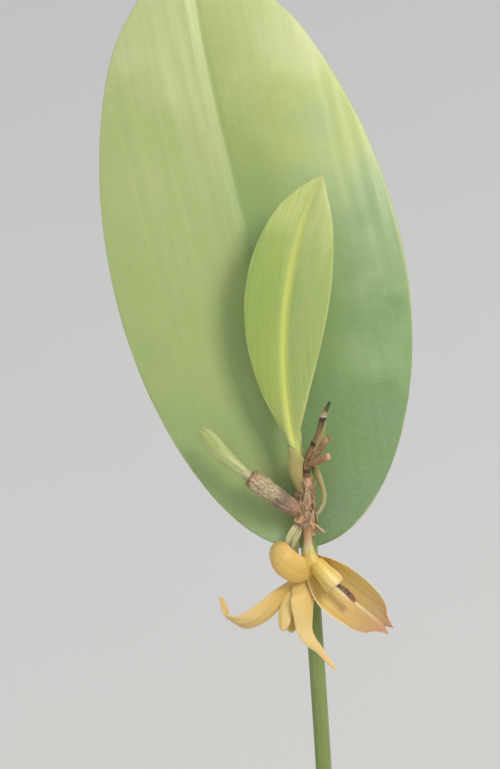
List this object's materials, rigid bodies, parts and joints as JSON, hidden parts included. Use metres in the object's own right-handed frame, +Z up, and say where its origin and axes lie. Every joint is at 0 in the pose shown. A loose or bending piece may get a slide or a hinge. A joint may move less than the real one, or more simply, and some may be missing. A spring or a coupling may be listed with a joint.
{
  "type": "potted acianthera luteola orchid",
  "caption": "Small pleurothallid orchid in a clay pot: leathery leaves on thin stems, with yellow flowers and a plantlet at the foot of the largest leaf.",
  "frame": {"origin": "middle of the pot's foot, on the surface that it stands on", "axes": "+Z up; the large leaf's upper face looks towards -Y and upwards, and +X is to the right as that leaf is seen from its upper side"},
  "size_m": [0.1869, 0.1038, 0.2192],
  "materials": {
    "terracotta": "unglazed fired clay, matt",
    "bark": "rough bark chips",
    "rhizome": "dry, ringed by old scales",
    "root": "matt silvery root skin",
    "stem": "satin green stem",
    "dry_sheath": "dry papery, mottled",
    "leaf": "leathery leaf, satin",
    "young_leaf": "young leaf, satin",
    "dry_bract": "brown, dry and fibrous",
    "green_bract": "pale green to tan, thin",
    "sepal": "waxy yellow sepal",
    "petal": "waxy bright yellow",
    "lip": "dark purple-brown, waxy"
  },
  "bodies": {
    "root": {"pot": "terracotta", "bark": "bark", "rhizome": "rhizome", "root_1": "root", "root_2": "root", "root_3": "root", "root_4": "root", "root_5": "root", "ramicaul_left": "stem", "ramicaul_right": "stem", "ramicaul_front_left": "stem", "ramicaul_front_right": "stem", "ramicaul_flowering": "stem", "sheath_left": "dry_sheath", "sheath_right": "dry_sheath", "sheath_front_left": "dry_sheath", "sheath_front_right": "dry_sheath", "sheath_flowering_lower": "dry_sheath", "sheath_flowering_upper": "dry_sheath", "leaf_left": "leaf", "leaf_right": "leaf", "leaf_front_left": "leaf", "leaf_front_right": "leaf", "leaf_flowering": "leaf", "crown": "dry_bract", "old_flower_stalk": "dry_bract", "pale_strip": "green_bract", "green_bract": "green_bract", "plantlet_ramicaul": "young_leaf", "plantlet_leaf": "young_leaf", "plantlet_sheath": "dry_sheath", "shoot_leaf": "young_leaf", "shoot_pale_sheath": "dry_sheath", "shoot_mottled_sheath": "dry_sheath", "flower_open_stalk": "green_bract", "flower_open_column": "petal", "flower_open_lip": "lip", "flower_open_petal_left": "petal", "flower_open_petal_right": "petal", "flower_open_synsepal": "sepal", "flower_open_dorsal_sepal": "sepal", "flower_side_stalk": "green_bract", "flower_side_column": "petal", "flower_side_lip": "lip", "flower_side_petal_left": "petal", "flower_side_petal_right": "petal", "flower_side_synsepal": "sepal", "flower_side_dorsal_sepal": "sepal"}
  },
  "joints": []
}
